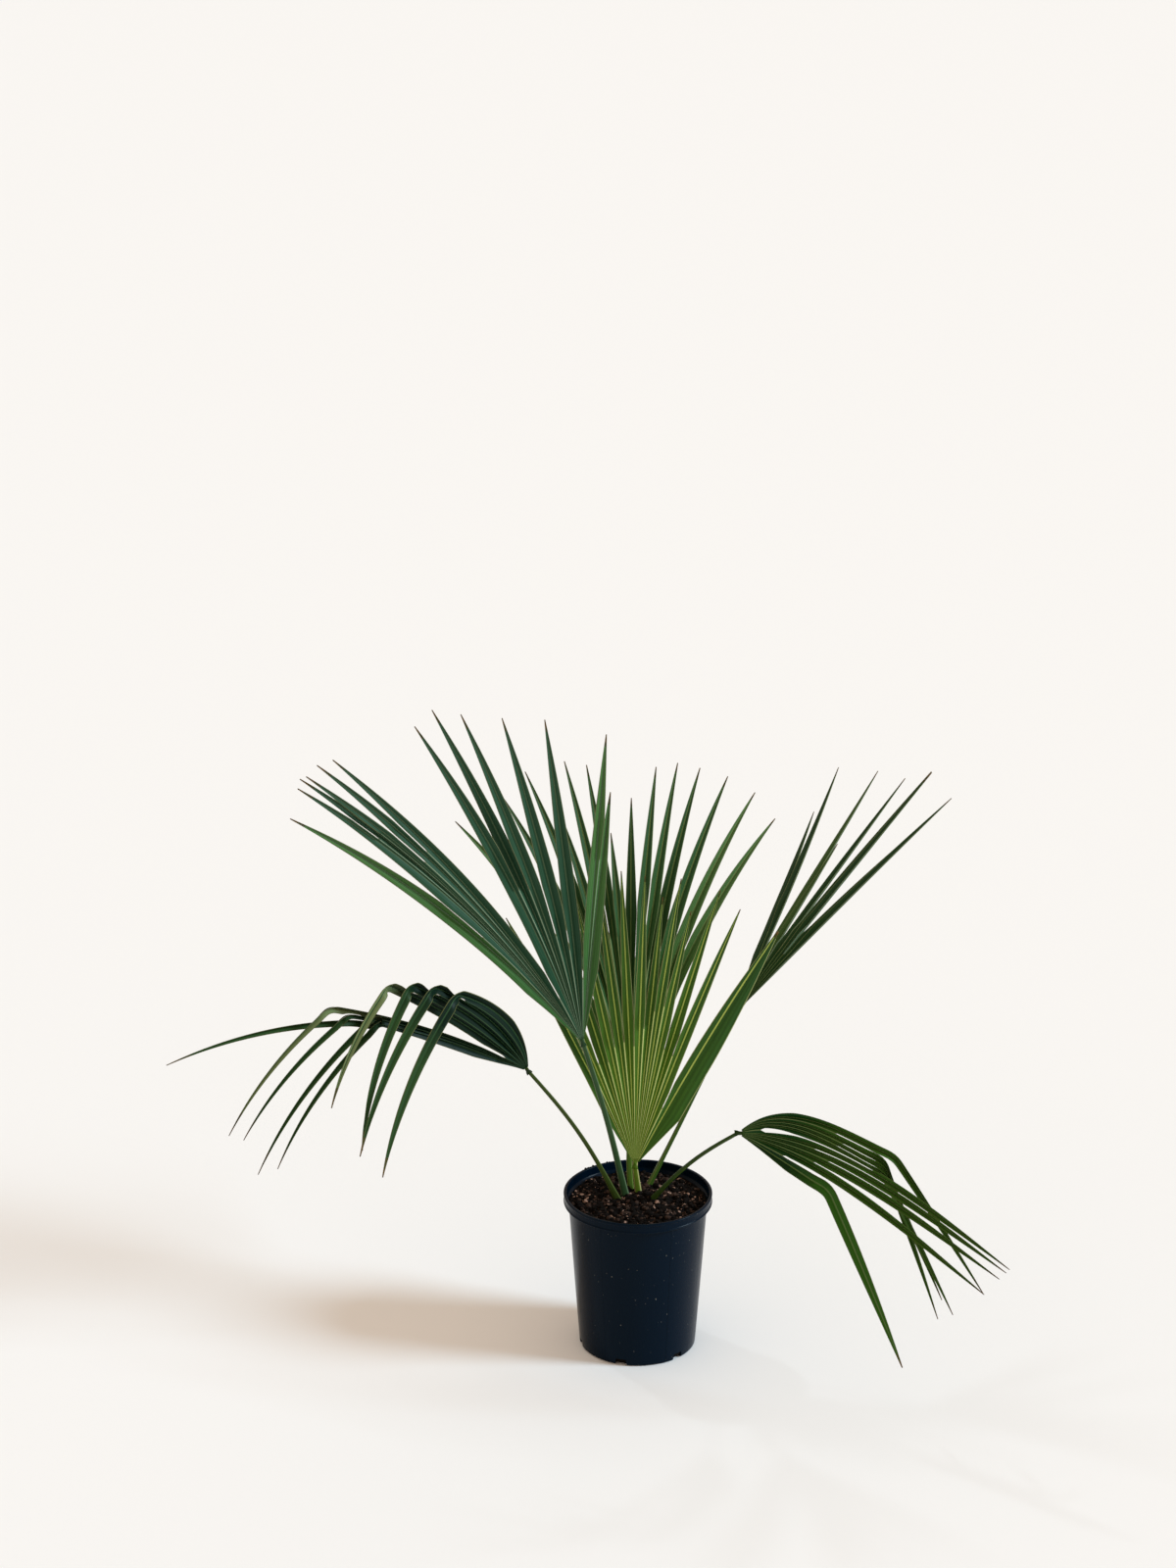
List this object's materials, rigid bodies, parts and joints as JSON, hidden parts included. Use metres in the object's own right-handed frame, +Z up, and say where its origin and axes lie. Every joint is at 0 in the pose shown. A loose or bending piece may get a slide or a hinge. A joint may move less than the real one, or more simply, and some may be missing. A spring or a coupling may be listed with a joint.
{
  "type": "potted cabbage palmetto palm",
  "caption": "Young cabbage palmetto, a fan palm, in a round dark nursery pot: pleated fan leaves on slim stalks rise from the potting mix, some upright and some drooping at the tips.",
  "frame": {"origin": "centre of the pot's flat underside, at floor level", "axes": "+Z up, +X to the right in the picture, -Y towards the picture's camera"},
  "size_m": [1.1593, 0.8406, 1.0215],
  "materials": {
    "pot": "satin moulded navy-black plastic",
    "potting_mix": "loose dark bark and peat",
    "petiole_left_upright": "smooth green stalk",
    "petiole_rear": "smooth green stalk",
    "petiole_young_centre": "smooth yellow-green stalk",
    "petiole_right_upright": "smooth green stalk",
    "petiole_left_drooping": "smooth dark green stalk",
    "petiole_right_drooping": "smooth green stalk",
    "blade_left_upright": "pleated satin blue-green leaf",
    "blade_rear": "pleated satin mid-green leaf",
    "blade_young_centre": "pleated satin yellow-green leaf",
    "blade_right_upright": "pleated satin dark green leaf",
    "blade_left_drooping": "pleated satin dark green leaf",
    "blade_right_drooping": "pleated satin mid-green leaf"
  },
  "bodies": {
    "root": {"pot": "pot", "potting_mix": "potting_mix", "petiole_left_upright": "petiole_left_upright", "petiole_rear": "petiole_rear", "petiole_young_centre": "petiole_young_centre", "petiole_right_upright": "petiole_right_upright", "petiole_left_drooping": "petiole_left_drooping", "petiole_right_drooping": "petiole_right_drooping", "blade_left_upright": "blade_left_upright", "blade_rear": "blade_rear", "blade_young_centre": "blade_young_centre", "blade_right_upright": "blade_right_upright", "blade_left_drooping": "blade_left_drooping", "leaflet_left_drooping_1": "blade_left_drooping", "leaflet_left_drooping_2": "blade_left_drooping", "leaflet_left_drooping_3": "blade_left_drooping", "leaflet_left_drooping_4": "blade_left_drooping", "leaflet_left_drooping_5": "blade_left_drooping", "leaflet_left_drooping_6": "blade_left_drooping", "leaflet_left_drooping_7": "blade_left_drooping", "leaflet_left_drooping_8": "blade_left_drooping", "leaflet_left_drooping_9": "blade_left_drooping", "blade_right_drooping": "blade_right_drooping", "leaflet_right_drooping_1": "blade_right_drooping", "leaflet_right_drooping_2": "blade_right_drooping", "leaflet_right_drooping_3": "blade_right_drooping", "leaflet_right_drooping_4": "blade_right_drooping", "leaflet_right_drooping_9": "blade_right_drooping"}
  },
  "joints": []
}
